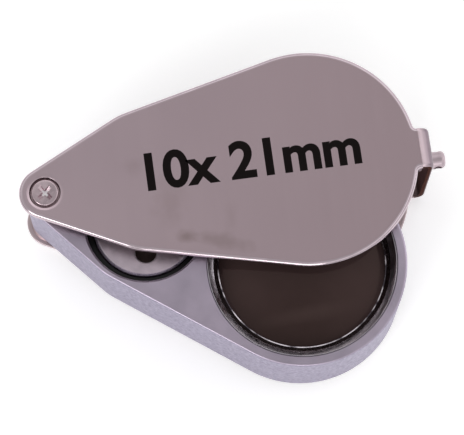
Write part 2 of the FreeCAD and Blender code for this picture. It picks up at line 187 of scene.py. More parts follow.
def rounded(corners, radii, steps=5):
    """A polyline with its inner corners rounded. radii match the corners, and 0 keeps a corner sharp."""
    found = [Vector(corners[0])]
    for i in range(1, len(corners) - 1):
        here = Vector(corners[i])
        back = Vector(corners[i - 1]) - here
        ahead = Vector(corners[i + 1]) - here
        radius = radii[i]
        if radius == 0:
            found.append(here)
            continue
        half = back.angle(ahead) / 2
        reach = radius / math.tan(half)
        start = here + back.normalized() * reach
        end = here + ahead.normalized() * reach
        inwards = (back.normalized() + ahead.normalized()).normalized()
        centre = here + inwards * (radius / math.sin(half))
        turn = (start - centre).angle_signed(end - centre)
        for k in range(steps + 1):
            spoke = (start - centre).copy()
            spoke.rotate(Matrix.Rotation(-turn * k / steps, 2))
            found.append(centre + spoke)
    found.append(Vector(corners[-1]))
    return [(p.x, p.y) for p in found]


# ---------------------------------------------------------------- mesh building

def ring_of(bm, chain, inset, z):
    """Vertices along an outline, moved inwards by inset, at one height."""
    return [bm.verts.new((*(p - n * inset), z)) for p, n in chain]


def bridge(bm, first, second, closed=True):
    """Quads between two rows of vertices. A row of one vertex makes a fan."""
    count = max(len(first), len(second))
    steps = count if closed else count - 1
    for i in range(steps):
        j = (i + 1) % count
        corners = [
            first[i % len(first)], first[j % len(first)],
            second[j % len(second)], second[i % len(second)],
        ]
        kept = []
        for vertex in corners:
            if vertex not in kept:
                kept.append(vertex)
        bm.faces.new(kept)


def turned(bm, profile, segments, centre=(0, 0)):
    """Rings of revolution about an upright axis along a profile of (radius, height), bridged in turn."""
    rows = []
    for radius, z in profile:
        if radius == 0:
            rows.append([bm.verts.new((centre[0], centre[1], z))])
            continue
        spokes = [heading(360 * i / segments) * radius for i in range(segments)]
        rows.append([bm.verts.new((centre[0] + s.x, centre[1] + s.y, z)) for s in spokes])
    for first, second in zip(rows, rows[1:]):
        bridge(bm, first, second)
    return rows


def loop_edges(bm, row):
    """The edges round a closed row of vertices, made where they are missing."""
    found = []
    for a, b in zip(row, row[1:] + row[:1]):
        found.append(bm.edges.get((a, b)) or bm.edges.new((a, b)))
    return found


def fill(bm, *rows):
    """Flat triangles between an outer row of vertices and the rows of any holes in it."""
    edges = [e for row in rows for e in loop_edges(bm, row)]
    bmesh.ops.triangle_fill(bm, use_beauty=True, use_dissolve=False, edges=edges)


def piece(bm, name, material, body, place, nodes=(), sharp=32, weighted=True):
    """Turns a finished bmesh into an object in the shared frame that rides on its body."""
    bmesh.ops.recalc_face_normals(bm, faces=bm.faces)
    bm.transform(place)
    for face in bm.faces:
        face.smooth = True
    for edge in bm.edges:
        if len(edge.link_faces) == 2 and edge.calc_face_angle(0) > math.radians(sharp):
            edge.smooth = False
    mesh = bpy.data.meshes.new(name)
    bm.to_mesh(mesh)
    bm.free()
    obj = bpy.data.objects.new(name, mesh)
    bpy.context.scene.collection.objects.link(obj)
    mesh.materials.append(material)
    if weighted:
        normals = obj.modifiers.new("normals", "WEIGHTED_NORMAL")
        normals.keep_sharp = True
        normals.weight = 80
    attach(obj, body)
    if nodes:
        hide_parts(*nodes)
    return obj


def add_materials(obj, *materials):
    """Further material slots after the first."""
    for material in materials:
        obj.data.materials.append(material)


# ---------------------------------------------------------------- materials

# Fine surface grain, in features per metre.
GRAIN = 4000

# Finger marks on the upper plate, in millimetres: middle, half sizes, turn in degrees and strength.
SMUDGE_COLOR = (0.26, 0.19, 0.18)
SMUDGES = [
    ((17.1, -7.9), (1.7, 1.1), 0, 0.50),
    ((20.9, -9.0), (4.6, 1.0), -20, 0.34),
    ((22.7, -6.3), (1.1, 2.1), 0, 0.13),
    ((15.3, -3.6), (2.6, 3.6), 0, 0.20),
    ((11.5, 2.0), (2.0, 1.2), 0, 0.15),
]

# The middle of the glass's painted shade and the painted pale band across it, as places in the shared frame.
GLASS_PAINTED_SHADE = Vector((-4.0, -20.9, HEIGHT)) * MM
GLASS_PAINTED_BAND = Vector((-2.2, -19.0, HEIGHT)) * MM


def main_of(material):
    """The Principled shader of a material."""
    return material.node_tree.nodes["Principled BSDF"]


def shader(name, metallic=0.0, roughness=0.5, color=(0.8, 0.8, 0.8)):
    """A node material with its Principled shader, ready for textures."""
    material = bpy.data.materials.new(name)
    material.use_nodes = True
    main = main_of(material)
    main.inputs["Metallic"].default_value = metallic
    main.inputs["Roughness"].default_value = roughness
    main.inputs["Base Color"].default_value = (*color, 1)
    return material, main


def position(material):
    """The object's own X, Y and Z, in metres."""
    nodes, links = material.node_tree.nodes, material.node_tree.links
    place = nodes.new("ShaderNodeTexCoord")
    split = nodes.new("ShaderNodeSeparateXYZ")
    links.new(place.outputs["Object"], split.inputs["Vector"])
    return split.outputs


def noise(material, scale, detail=3.0, stretch=(1, 1, 1), roughness=0.5):
    """Noise in the object's own coordinates, scale in features per metre."""
    nodes, links = material.node_tree.nodes, material.node_tree.links
    place = nodes.new("ShaderNodeTexCoord")
    mapping = nodes.new("ShaderNodeMapping")
    mapping.inputs["Scale"].default_value = stretch
    texture = nodes.new("ShaderNodeTexNoise")
    texture.inputs["Scale"].default_value = scale
    texture.inputs["Detail"].default_value = detail
    texture.inputs["Roughness"].default_value = roughness
    links.new(place.outputs["Object"], mapping.inputs["Vector"])
    links.new(mapping.outputs["Vector"], texture.inputs["Vector"])
    return texture.outputs["Fac"]


def spread(material, source, low, high, start=0.3, end=0.7):
    """Maps a texture's middle range to values between low and high."""
    node = material.node_tree.nodes.new("ShaderNodeMapRange")
    node.inputs["From Min"].default_value = start
    node.inputs["From Max"].default_value = end
    node.inputs["To Min"].default_value = low
    node.inputs["To Max"].default_value = high
    material.node_tree.links.new(source, node.inputs["Value"])
    return node.outputs["Result"]


def blend_colors(material, source, first, second, start=0.3, end=0.7):
    """A colour ramp between two colours over a texture's middle range."""
    node = material.node_tree.nodes.new("ShaderNodeValToRGB")
    node.color_ramp.elements[0].position = start
    node.color_ramp.elements[1].position = end
    node.color_ramp.elements[0].color = (*first, 1)
    node.color_ramp.elements[1].color = (*second, 1)
    material.node_tree.links.new(source, node.inputs["Fac"])
    return node.outputs["Color"]


def bump(material, main, source, height, strength=1.0):
    """Surface relief of a height in metres."""
    node = material.node_tree.nodes.new("ShaderNodeBump")
    node.inputs["Strength"].default_value = strength
    node.inputs["Distance"].default_value = height
    material.node_tree.links.new(source, node.inputs["Height"])
    material.node_tree.links.new(node.outputs["Normal"], main.inputs["Normal"])


def metal(name, light, dark, rough_low, rough_high, relief=1.5e-6, patch=140, softness=0.2):
    """Plated or cast metal: slow colour patches, finer roughness changes and a fine grain."""
    material, main = shader(name, metallic=1.0)
    links = material.node_tree.links
    patches = noise(material, patch, detail=2)
    tone = blend_colors(material, patches, dark, light, start=0.5 - softness, end=0.5 + softness)
    links.new(tone, main.inputs["Base Color"])
    smears = noise(material, patch * 4, detail=5)
    links.new(spread(material, smears, rough_low, rough_high), main.inputs["Roughness"])
    bump(material, main, noise(material, GRAIN, detail=4), relief)
    return material


def soft_spot(material, centre, radii_mm, turn_deg=0, ragged=0.35):
    """A mask that is 1 at a place in the shared frame and fades to 0 at its edge."""
    nodes, links = material.node_tree.nodes, material.node_tree.links
    place = nodes.new("ShaderNodeTexCoord")
    mapping = nodes.new("ShaderNodeMapping")
    mapping.vector_type = "TEXTURE"
    mapping.inputs["Location"].default_value = centre
    mapping.inputs["Rotation"].default_value = (0, 0, math.radians(turn_deg))
    mapping.inputs["Scale"].default_value = [r * MM for r in (*radii_mm, 10)]
    links.new(place.outputs["Object"], mapping.inputs["Vector"])
    length = nodes.new("ShaderNodeVectorMath")
    length.operation = "LENGTH"
    links.new(mapping.outputs["Vector"], length.inputs[0])
    edge = nodes.new("ShaderNodeMath")
    edge.operation = "ADD"
    links.new(length.outputs["Value"], edge.inputs[0])
    links.new(spread(material, noise(material, 500, detail=3), -ragged, ragged), edge.inputs[1])
    return spread(material, edge.outputs["Value"], 1.0, 0.0, start=0.1, end=1.1)


def blend_into(material, base, factor, second):
    """Mixes a fixed colour over a base colour by a varying factor."""
    node = material.node_tree.nodes.new("ShaderNodeMix")
    node.data_type = "RGBA"
    material.node_tree.links.new(factor, node.inputs["Factor"])
    material.node_tree.links.new(base, node.inputs["A"])
    node.inputs["B"].default_value = (*second, 1)
    return node.outputs["Result"]


def smudged_plating(name):
    """Smoked bright plating, darker towards the strap as painted shade, with finger marks and faint wiping
    streaks.
    """
    material, main = shader(name, metallic=1.0)
    links = material.node_tree.links
    # Darker towards the strap: painted shade, blended in along X.
    painted_shade_along = spread(material, position(material)["X"], 0.0, 1.0, start=-0.03, end=0.014)
    patches = noise(material, 55, detail=2)
    tone = blend_colors(material, patches, (0.505, 0.40, 0.44), (0.55, 0.435, 0.475))
    tone = blend_into(material, tone, painted_shade_along, (0.475, 0.365, 0.395))
    for centre, radii, turn_deg, strength in SMUDGES:
        mask = soft_spot(material, cover_place @ Vector((*centre, HEIGHT)), radii, turn_deg)
        amount = spread(material, mask, 0.0, strength, start=0, end=1)
        tone = blend_into(material, tone, amount, SMUDGE_COLOR)
    links.new(tone, main.inputs["Base Color"])
    streaks = noise(material, 700, detail=3, stretch=(2.5, 0.12, 1.0))
    links.new(spread(material, streaks, 0.17, 0.25), main.inputs["Roughness"])
    bump(material, main, noise(material, GRAIN, detail=4), 1.2e-6)
    return material


def strap_painted_light(name):
    """The strap's outside: a painted highlight where it leaves the plates, painted shade on its upright part.
    """
    material, main = shader(name, metallic=1.0)
    links = material.node_tree.links
    painted_light_start_x = (cover_high.x - 1.3) * MM
    painted_shade_end_x = (cover_high.x - 0.5) * MM
    across = spread(material, position(material)["X"], 0.0, 1.0, start=painted_light_start_x, end=painted_shade_end_x)
    grain = noise(material, 500, detail=2)
    # Lighter than the plates' plating: the painted highlight on the bend.
    tone = blend_colors(material, grain, (0.70, 0.565, 0.61), (0.77, 0.62, 0.67))
    # The dark colour towards the upright part is painted shade.
    links.new(blend_into(material, tone, across, (0.25, 0.195, 0.225)), main.inputs["Base Color"])
    links.new(spread(material, grain, 0.34, 0.42), main.inputs["Roughness"])
    bump(material, main, noise(material, GRAIN, detail=4), 1.5e-6)
    return material


def cast_metal(name):
    """Cast alloy: smooth machined faces above and below, a mottled rough skin on the walls."""
    material, main = shader(name, metallic=1.0)
    nodes, links = material.node_tree.nodes, material.node_tree.links
    geometry = nodes.new("ShaderNodeNewGeometry")
    split = nodes.new("ShaderNodeSeparateXYZ")
    links.new(geometry.outputs["Normal"], split.inputs["Vector"])
    steep = nodes.new("ShaderNodeMath")
    steep.operation = "ABSOLUTE"
    links.new(split.outputs["Z"], steep.inputs[0])
    face = spread(material, steep.outputs["Value"], 0.0, 1.0, start=0.35, end=0.8)
    blotches = noise(material, 2200, detail=4, roughness=0.6)
    wall_color = blend_colors(
        material, blotches, (0.278, 0.25, 0.341), (0.385, 0.343, 0.457), start=0.35, end=0.65)
    tone = noise(material, 300, detail=2)
    face_color = blend_colors(material, tone, (0.405, 0.352, 0.432), (0.465, 0.40, 0.49))
    mix = nodes.new("ShaderNodeMix")
    mix.data_type = "RGBA"
    links.new(face, mix.inputs["Factor"])
    links.new(wall_color, mix.inputs["A"])
    links.new(face_color, mix.inputs["B"])
    links.new(mix.outputs["Result"], main.inputs["Base Color"])
    rough = nodes.new("ShaderNodeMix")
    links.new(face, rough.inputs["Factor"])
    links.new(spread(material, blotches, 0.55, 0.35), rough.inputs["A"])
    links.new(spread(material, tone, 0.32, 0.40), rough.inputs["B"])
    links.new(rough.outputs["Result"], main.inputs["Roughness"])
    skin = noise(material, 1500, detail=5, roughness=0.65)
    bump(material, main, skin, 3e-5, strength=0.65)
    return material


def plastic(name, light, dark, roughness, grain=1800, relief=1e-5):
    """Moulded plastic with a fine grain."""
    material, main = shader(name, roughness=roughness)
    texture = noise(material, grain, detail=3)
    material.node_tree.links.new(blend_colors(material, texture, dark, light), main.inputs["Base Color"])
    bump(material, main, texture, relief)
    return material


def painted_shade_glass(name, painted_tint, clear):
    """Glass tinted brown and almost black: painted shade for the shaded lower plate seen through the clear
    lens.
    """
    material, main = shader(name, roughness=0.02, color=painted_tint)
    main.inputs["Transmission Weight"].default_value = clear
    main.inputs["IOR"].default_value = 1.52
    main.inputs["Specular IOR Level"].default_value = 0.14
    main.inputs["Specular Tint"].default_value = (1.0, 0.76, 0.68, 1)
    haze = noise(material, 220, detail=2)
    material.node_tree.links.new(spread(material, haze, 0.02, 0.05), main.inputs["Roughness"])
    return material


def outer_glass(name):
    """The outer elements' glass: painted shade, darker in the middle, and one painted pale band across it."""
    material = painted_shade_glass(name, (0.050, 0.031, 0.030), 0.10)
    painted_shade_core = soft_spot(material, GLASS_PAINTED_SHADE, (9.0, 11.0), ragged=0.05)
    painted_band = soft_spot(material, GLASS_PAINTED_BAND, (9.0, 1.2), turn_deg=4, ragged=0.14)
    painted_tint = blend_colors(material, painted_shade_core, (0.054, 0.033, 0.032), (0.024, 0.0135, 0.0125), start=0, end=1)
    amount = spread(material, painted_band, 0.0, 0.8, start=0, end=1)
    painted_tint = blend_into(material, painted_tint, amount, (0.055, 0.035, 0.033))
    material.node_tree.links.new(painted_tint, main_of(material).inputs["Base Color"])
    return material


plating = smudged_plating("cover_plating")
# Bare cut edges: the sheet's own dark brown, darkened further as painted shade. The cap's spanner holes use
# it as painted shade.
cut_edge_and_painted_shade = metal("sheet_cut_edge", (0.105, 0.075, 0.072), (0.07, 0.049, 0.046), 0.30, 0.45, patch=900)
inner_plating = metal("sheet_inside", (0.60, 0.49, 0.51), (0.48, 0.39, 0.40), 0.34, 0.48, patch=300)
# The strap's inner face, darkened with painted shade.
strap_inside_painted_shade = metal("strap_inside_painted_shade", (0.23, 0.175, 0.165), (0.155, 0.118, 0.11), 0.30, 0.45, patch=300)
# These two are seen nearly edge-on, where a metal goes white whatever its colour, so their edge tint is
# darkened: painted shade in their grazing reflection.
for edge_on in (cut_edge_and_painted_shade, strap_inside_painted_shade):
    main_of(edge_on).inputs["Specular Tint"].default_value = (0.42, 0.32, 0.30, 1)
# The cover's rounded rims: polished, and lighter than the plating as a painted highlight.
polished_rim_painted_highlight = metal("polished_rim_painted_highlight", (0.62, 0.52, 0.565), (0.54, 0.45, 0.49), 0.10, 0.18, patch=500)
bend_painted_light = strap_painted_light("bend_painted_light")
stud_plating = metal("stud_plating", (0.60, 0.49, 0.53), (0.50, 0.41, 0.445), 0.34, 0.46, patch=900)
screw_plating = metal("screw_plating", (0.66, 0.53, 0.57), (0.46, 0.37, 0.40), 0.16, 0.30, patch=600)
alloy = cast_metal("frame_alloy")
ring_polish = metal("ring_polish", (0.56, 0.52, 0.56), (0.40, 0.37, 0.41), 0.08, 0.22, patch=500)
# The ring's inner bevel: painted shade for its dark reflection. Its land: broken painted glints along the
# glass.
ring_shade = metal("ring_shade", (0.15, 0.13, 0.14), (0.07, 0.06, 0.065), 0.16, 0.30, patch=700)
ring_land_painted_glints = metal("ring_land_painted_glints", (0.60, 0.55, 0.59), (0.06, 0.05, 0.06), 0.2, 0.35, patch=600, softness=0.09)
cap_metal = metal("cap_metal", (0.66, 0.56, 0.63), (0.55, 0.47, 0.53), 0.28, 0.42, patch=900, relief=4e-6)
# A bright base that paints highlights: the cap's chamfer and the screw's cross floor.
highlight_paint = metal("highlight_paint", (0.97, 0.93, 0.95), (0.80, 0.74, 0.78), 0.25, 0.4, patch=900)
cell_metal = metal("cell_metal", (0.62, 0.61, 0.60), (0.54, 0.53, 0.52), 0.20, 0.30, patch=500)
brass = metal("contact_brass", (0.85, 0.66, 0.36), (0.72, 0.54, 0.28), 0.22, 0.34, patch=700)
spring_metal = metal("spring_metal", (0.66, 0.65, 0.64), (0.54, 0.53, 0.52), 0.25, 0.36, patch=700)
black = plastic("black_plastic", (0.008, 0.007, 0.008), (0.004, 0.003, 0.004), 0.38)
main_of(black).inputs["Specular IOR Level"].default_value = 0.3
nylon = plastic("washer_nylon", (0.80, 0.79, 0.75), (0.70, 0.69, 0.65), 0.45)
ink = plastic("mark_ink", (0.006, 0.003, 0.003), (0.003, 0.002, 0.002), 0.6, grain=6000, relief=2e-6)
main_of(ink).inputs["Specular IOR Level"].default_value = 0.08
epoxy = plastic("lamp_epoxy", (0.92, 0.94, 0.97), (0.86, 0.88, 0.90), 0.12, relief=2e-6)
glass = outer_glass("lens_glass")
# The middle element's brown tint is painted shade as well.
inner_glass = painted_shade_glass("inner_glass", (0.11, 0.085, 0.07), 1.0)


# ---------------------------------------------------------------- cover

def sheet_profile():
    """The sheet's edge from the outer face round to the inner face, as (inset, depth) pairs."""
    corners = [(OUTER_ROUND + SUPPORT, 0), (0, 0), (0, SHEET), (INNER_ROUND + SUPPORT, SHEET)]
    return rounded(corners, [0, OUTER_ROUND, INNER_ROUND, 0], steps=6)


def dimple_profile():
    """The pressed recess round the pivot, from the outer face down to the inner face, as (radius, depth)."""
    washer_gap = 0.03
    under = HEIGHT - box_mm("upper_friction_washer")[1].z - washer_gap
    floor = under - SHEET
    mouth_r = 2.3
    recess_r = 1.9
    hole_r = 0.85
    corners = [
        (2.5, 0), (mouth_r, 0), (1.98, 0.1), (recess_r, 0.3), (recess_r, floor),
        (hole_r, floor), (hole_r, under), (2.3, under), (2.72, SHEET),
    ]
    return rounded(corners, [0, 0.15, 0.08, 0.08, 0.1, 0.05, 0.05, 0.3, 0], steps=6)


# The cover's material slots, in their order.
PLATING, CUT_EDGE, INSIDE, RIM, BEND, STRAP_INSIDE = range(6)


def add_strap(bm, ends, section):
    """The strap's bends and upright between the two plates' end rows."""
    half = STRAP_WIDTH / 2
    sides = [(half - inset + STRAP_Y, depth) for inset, depth in section]
    sides += [(inset - half + STRAP_Y, depth) for inset, depth in reversed(section)]
    bend_steps = 12
    stations = [(90 - 90 * i / bend_steps, PLATE_TOP - STRAP_BEND) for i in range(1, bend_steps + 1)]
    stations += [(-90 * i / bend_steps, STRAP_BEND) for i in range(0, bend_steps)]
    rows = [ends[0]]
    for angle, centre_z in stations:
        way = heading(angle)
        row = []
        for y, depth in sides:
            reach = STRAP_BEND - depth
            row.append(bm.verts.new((BEND_X + way.x * reach, y, centre_z + way.y * reach)))
        rows.append(row)
    rows.append(ends[1])
    plates = set(bm.faces)
    for first, second in zip(rows, rows[1:]):
        bridge(bm, first, second)
    for face in set(bm.faces) - plates:
        face.normal_update()
        face.material_index = CUT_EDGE if abs(face.normal.y) > 0.9 else BEND


def mark_inside(bm):
    """Gives the inner faces of the plates and of the strap their own materials; the strap's inside is
    darkened with painted shade.
    """
    for face in bm.faces:
        spot = face.calc_center_median()
        level = abs(spot.z - MID_Z)
        within = level < MID_Z - SHEET + 0.05 and spot.x < STRAP_X - SHEET / 2
        if not within or face.material_index not in (PLATING, BEND):
            continue
        bend = Vector((spot.x - BEND_X, level - (MID_Z - STRAP_BEND)))
        outer = bend.x > 0 and bend.y > 0 and bend.length > STRAP_BEND - SHEET / 2
        if not outer:
            face.material_index = STRAP_INSIDE if face.material_index == BEND else INSIDE


def make_cover():
    """One sheet: the upper plate, the strap and the lower plate, with a dimple in each plate."""
    bm = bmesh.new()
    chain = plate_outline()
    section = sheet_profile()
    ends = []
    for up in (1, -1):
        height = PLATE_TOP if up == 1 else 0
        rows = [ring_of(bm, chain, inset, height - up * depth) for inset, depth in section]
        for first, second in zip(rows[1:], rows[2:]):
            bridge(bm, first, second, closed=False)
        for face in bm.faces:
            if face.material_index == PLATING and abs(face.calc_center_median().z - height) < SHEET / 2:
                face.material_index = RIM
        bridge(bm, rows[0], rows[1], closed=False)
        dimple = turned(bm, [(r, height - up * depth) for r, depth in dimple_profile()], 72)
        fill(bm, rows[0], dimple[0])
        fill(bm, rows[-1], dimple[-1])
        ends.append([row[0] for row in rows] + [row[-1] for row in reversed(rows)])
    add_strap(bm, ends, section)
    mark_inside(bm)
    cover = piece(bm, "cover_sheet", plating, "cover", cover_place, ["folding_cover"])
    add_materials(cover, cut_edge_and_painted_shade, inner_plating, polished_rim_painted_highlight, bend_painted_light, strap_inside_painted_shade)


make_cover()


def make_mark():
    """The magnification and the lens diameter, printed in black on the upper plate."""
    curve = bpy.data.curves.new("mark", "FONT")
    curve.body = "10x 21mm"
    curve.size = 6.6
    curve.offset = 0.2
    curve.align_x = "CENTER"
    curve.align_y = "CENTER"
    curve.resolution_u = 6
    text = bpy.data.objects.new("mark", curve)
    bm = bmesh.new()
    bm.from_mesh(text.to_mesh())
    text.to_mesh_clear()
    bpy.data.objects.remove(text)
    bpy.data.curves.remove(curve)
    place = cover_place @ Matrix.Translation((26.0, 0.6, MARK_Z))
    piece(bm, "printed_mark", ink, "cover", place, weighted=False)


make_mark()


# ---------------------------------------------------------------- lens body

def make_frame():
    """The cast body: outer wall, flat faces with their bores, and the bores' walls."""
    bm = bmesh.new()
    chain = drop_outline(BODY_CIRCLES)
    face_inset = BODY_ROUND + SUPPORT
    corners = [(face_inset, BODY_HIGH), (0, BODY_HIGH), (0, BODY_LOW), (face_inset, BODY_LOW)]
    section = rounded(corners, [0, BODY_ROUND, BODY_ROUND, 0])
    rows = [ring_of(bm, chain, inset, z) for inset, z in section]
    for first, second in zip(rows, rows[1:]):
        bridge(bm, first, second)
    bore_r = 12.0
    land_r = 11.6
    land_high = box_mm("lens_cell")[1].z - MID_Z
    lens_bore = turned(bm, [
        (12.16, BODY_HIGH), (12.06, BODY_HIGH), (bore_r, BODY_HIGH - 0.06), (bore_r, MID_Z + land_high),
        (land_r, MID_Z + land_high), (land_r, MID_Z - land_high), (bore_r, MID_Z - land_high),
        (bore_r, BODY_LOW + 0.06), (12.06, BODY_LOW), (12.16, BODY_LOW),
    ], 160, (LENS_X, 0))
    pivot_r = 1.3
    pivot_bore = turned(bm, [
        (1.35, BODY_HIGH), (pivot_r, BODY_HIGH - 0.05), (pivot_r, BODY_LOW + 0.05), (1.35, BODY_LOW),
    ], 48)
    well_r = 7.55
    well_floor = box_mm("contact_spring")[0].z
    well = turned(bm, [
        (7.86, BODY_HIGH), (7.8, BODY_HIGH), (well_r, BODY_HIGH - 0.2), (well_r, well_floor), (0, well_floor),
    ], 144, (WELL_X, 0))
    lamp_seat_r = 1.95
    lamp_r = 1.55
    lamp_top = 8.6
    lamp = turned(bm, [
        (2.0, BODY_LOW), (lamp_seat_r, BODY_LOW + 0.05), (lamp_seat_r, BODY_LOW + 0.8),
        (lamp_r, BODY_LOW + 0.8), (lamp_r, lamp_top), (0, lamp_top),
    ], 48, LAMP_XY)
    fill(bm, rows[0], lens_bore[0], pivot_bore[0], well[0])
    fill(bm, rows[-1], lens_bore[-1], pivot_bore[-1], lamp[0])
    piece(bm, "lens_frame_casting", alloy, "lens_body", body_place, ["lens_frame"])


make_frame()


def make_turned(name, profile, segments, centre, material, node):
    """A closed piece of revolution in the lens body. Its profile loops, or has both ends on the axis."""
    bm = bmesh.new()
    rows = turned(bm, profile, segments, centre)
    if len(rows[0]) > 1:
        bridge(bm, rows[-1], rows[0])
    piece(bm, name, material, "lens_body", body_place, [node])


# Each of these pieces has further material slots after its first.
RING_SHADE, RING_LAND_GLINTS = 1, 2
CAP_HOLE_SHADE, CAP_CHAMFER_HIGHLIGHT = 1, 2
CROSS_FLOOR_HIGHLIGHT = 1


def make_lens_ring(name, node, up):
    """A threaded ring: polished outer bevel, inner bevel dark with painted shade, and a land next to the
    glass with broken painted glints.
    """
    near, far = sorted(abs(corner.z - MID_Z) for corner in box_mm(node))
    outer_r = 11.95
    knee_r = 11.16
    land_r = 10.64
    bore_r = 10.5
    corners = [
        (11.0, near), (outer_r, near), (outer_r, far), (11.86, far), (knee_r, far - 0.62),
        (land_r, far - 1.32), (bore_r, far - 1.36), (bore_r, near), (11.0, near),
    ]
    outline = rounded(corners, [0, 0, 0.04, 0.05, 0.2, 0, 0.02, 0.05, 0])[:-1]
    bm = bmesh.new()
    rows = turned(bm, [(r, MID_Z + up * h) for r, h in outline], 160, (LENS_X, 0))
    bridge(bm, rows[-1], rows[0])
    for face in bm.faces:
        spot = face.calc_center_median()
        radius = math.hypot(spot.x - LENS_X, spot.y)
        if abs(spot.z - MID_Z) > far - 1.4 and radius < knee_r - 0.05:
            face.material_index = RING_LAND_GLINTS if radius < land_r else RING_SHADE
    ring = piece(bm, name, ring_polish, "lens_body", body_place, [node], sharp=18)
    add_materials(ring, ring_shade, ring_land_painted_glints)


make_lens_ring("upper_ring_polished", "upper_lens_ring", 1)
make_lens_ring("lower_ring_polished", "lower_lens_ring", -1)


def face_curve(radius, apex, up):
    """Points of a glass's spherical face from its apex out to its edge."""
    steps = 22
    found = []
    for i in range(steps + 1):
        r = GLASS_EDGE_R * i / steps
        found.append((r, apex - up * (radius - math.sqrt(radius ** 2 - r ** 2))))
    return found


def make_glass(name, outer, inner, material, node):
    """One element between two of its faces."""
    make_turned(name, outer + inner[::-1], 128, (LENS_X, 0), material, node)


def make_glasses():
    """The three cemented elements, with hair gaps between them so that their faces don't meet."""
    middle_high = box_mm("middle_lens_element")[1].z
    for side, up in (("upper", 1), ("lower", -1)):
        node = f"{side}_lens_element"
        low, high = box_mm(node)
        apex = high.z if up == 1 else low.z
        inner_apex = MID_Z + up * (middle_high - MID_Z + GLASS_GAP)
        outer = face_curve(OUTER_FACE_R, apex, up)
        inner = face_curve(CEMENTED_FACE_R, inner_apex, up)
        make_glass(f"{side}_glass", outer, inner, glass, node)
    upper = face_curve(CEMENTED_FACE_R, middle_high - GLASS_GAP, 1)
    lower = face_curve(CEMENTED_FACE_R, 2 * MID_Z - middle_high + GLASS_GAP, -1)
    make_glass("middle_glass", upper, lower, inner_glass, "middle_lens_element")


make_glasses()


def make_cap():
    """The battery cap: chamfered disc with two spanner holes, and its skirt; painted shade in the holes and a
    painted highlight on the chamfer.
    """
    low, high = box_mm("battery_cap")
    radius = (high.x - low.x) / 2
    top = high.z
    skirt_r = 6.1
    ceiling = low.z + 1.2
    hole_r = 1.35
    hole_reach = 3.6
    hole_floor = top - 0.7
    bm = bmesh.new()
    corners = [
        (radius - 0.5, top), (radius - 0.28, top), (radius, top - 0.2), (radius, low.z),
        (skirt_r, low.z), (skirt_r, ceiling), (0, ceiling),
    ]
    outline = rounded(corners, [0, 0.06, 0.06, 0.05, 0.05, 0.05, 0], steps=3)
    rows = turned(bm, outline, 144, (WELL_X, 0))
    hole_corners = [(1.5, top), (hole_r, top), (hole_r, hole_floor), (0, hole_floor)]
    hole = rounded(hole_corners, [0, 0.1, 0.15, 0], steps=4)
    holes = []
    for turn_deg in (-74, 106):
        spot = heading(turn_deg) * hole_reach
        holes.append(turned(bm, hole, 48, (WELL_X + spot.x, spot.y))[0])
    fill(bm, rows[0], *holes)
    # The holes' walls and floors get painted shade, the chamfer a painted highlight.
    for face in bm.faces:
        spot = face.calc_center_median()
        if hole_floor - 0.02 < spot.z < top - 0.1 and math.hypot(spot.x - WELL_X, spot.y) < radius - 0.5:
            face.material_index = CAP_HOLE_SHADE
        elif top - 0.18 < spot.z < top - 0.01:
            face.material_index = CAP_CHAMFER_HIGHLIGHT
    cap = piece(bm, "battery_cap_disc", cap_metal, "battery_cap", body_place, ["battery_cap"])
    add_materials(cap, cut_edge_and_painted_shade, highlight_paint)


make_cap()


def make_sleeve():
    """The black sleeve round the cells."""
    low, high = box_mm("battery_sleeve")
    ledge = box_mm("battery_cap")[0].z - 0.1
    outer_r = 7.5
    mouth_r = 6.7
    cell_r = 5.9
    corners = [
        (mouth_r, ledge), (mouth_r, high.z), (outer_r, high.z), (outer_r, low.z),
        (cell_r, low.z), (cell_r, ledge), (mouth_r, ledge),
    ]
    profile = rounded(corners, [0, 0.1, 0.1, 0, 0, 0, 0])[:-1]
    make_turned("cell_sleeve", profile, 144, (WELL_X, 0), black, "battery_sleeve")


make_sleeve()


# ---------------------------------------------------------------- pivot hardware

def cross_outline(a, b):
    """A closed row of points round a cross of half length a and half width b, turned as the screw is."""
    corner = 0.05
    turn_deg = 51
    quarter = [(a, -b), (a, b), (b + corner, b), (b, b + corner)]
    found = []
    for k in range(4):
        for x, y in quarter:
            way = Vector((x, y))
            way.rotate(Matrix.Rotation(math.radians(90 * k - turn_deg), 2))
            found.append(way)
    return found


def make_screw():
    """The cross-head screw in the upper dimple, with a painted highlight on the cross's floor."""
    low, high = box_mm("pivot_screw")
    radius = (high.x - low.x) / 2
    shank_r = 0.78
    seat = high.z - 0.79
    recess = 0.45
    bm = bmesh.new()
    corners = [
        (radius - 0.3, high.z), (radius, high.z - 0.03), (radius, seat),
        (shank_r, seat), (shank_r, low.z), (0, low.z),
    ]
    outline = rounded(corners, [0, 0.18, 0.05, 0.05, 0.1, 0], steps=5)
    rows = turned(bm, outline, 64)
    levels = []
    for half_length, half_width, depth in ((1.10, 0.27, 0), (1.04, 0.22, 0.06), (0.46, 0.13, recess)):
        cross = cross_outline(half_length, half_width)
        levels.append([bm.verts.new((p.x, p.y, high.z - depth)) for p in cross])
    mouth, lip, floor = levels
    bridge(bm, mouth, lip)
    bridge(bm, lip, floor)
    fill(bm, rows[0], mouth)
    fill(bm, floor)
    # The cross's floor gets a painted highlight.
    for face in bm.faces:
        spot = face.calc_center_median()
        if abs(spot.z - (high.z - recess)) < 0.01 and spot.xy.length < shank_r:
            face.material_index = CROSS_FLOOR_HIGHLIGHT
    screw = piece(bm, "pivot_screw_head", screw_plating, "cover", cover_place, ["pivot_screw"])
    add_materials(screw, highlight_paint)


make_screw()


# ---------------------------------------------------------------- CAD nodes that stay

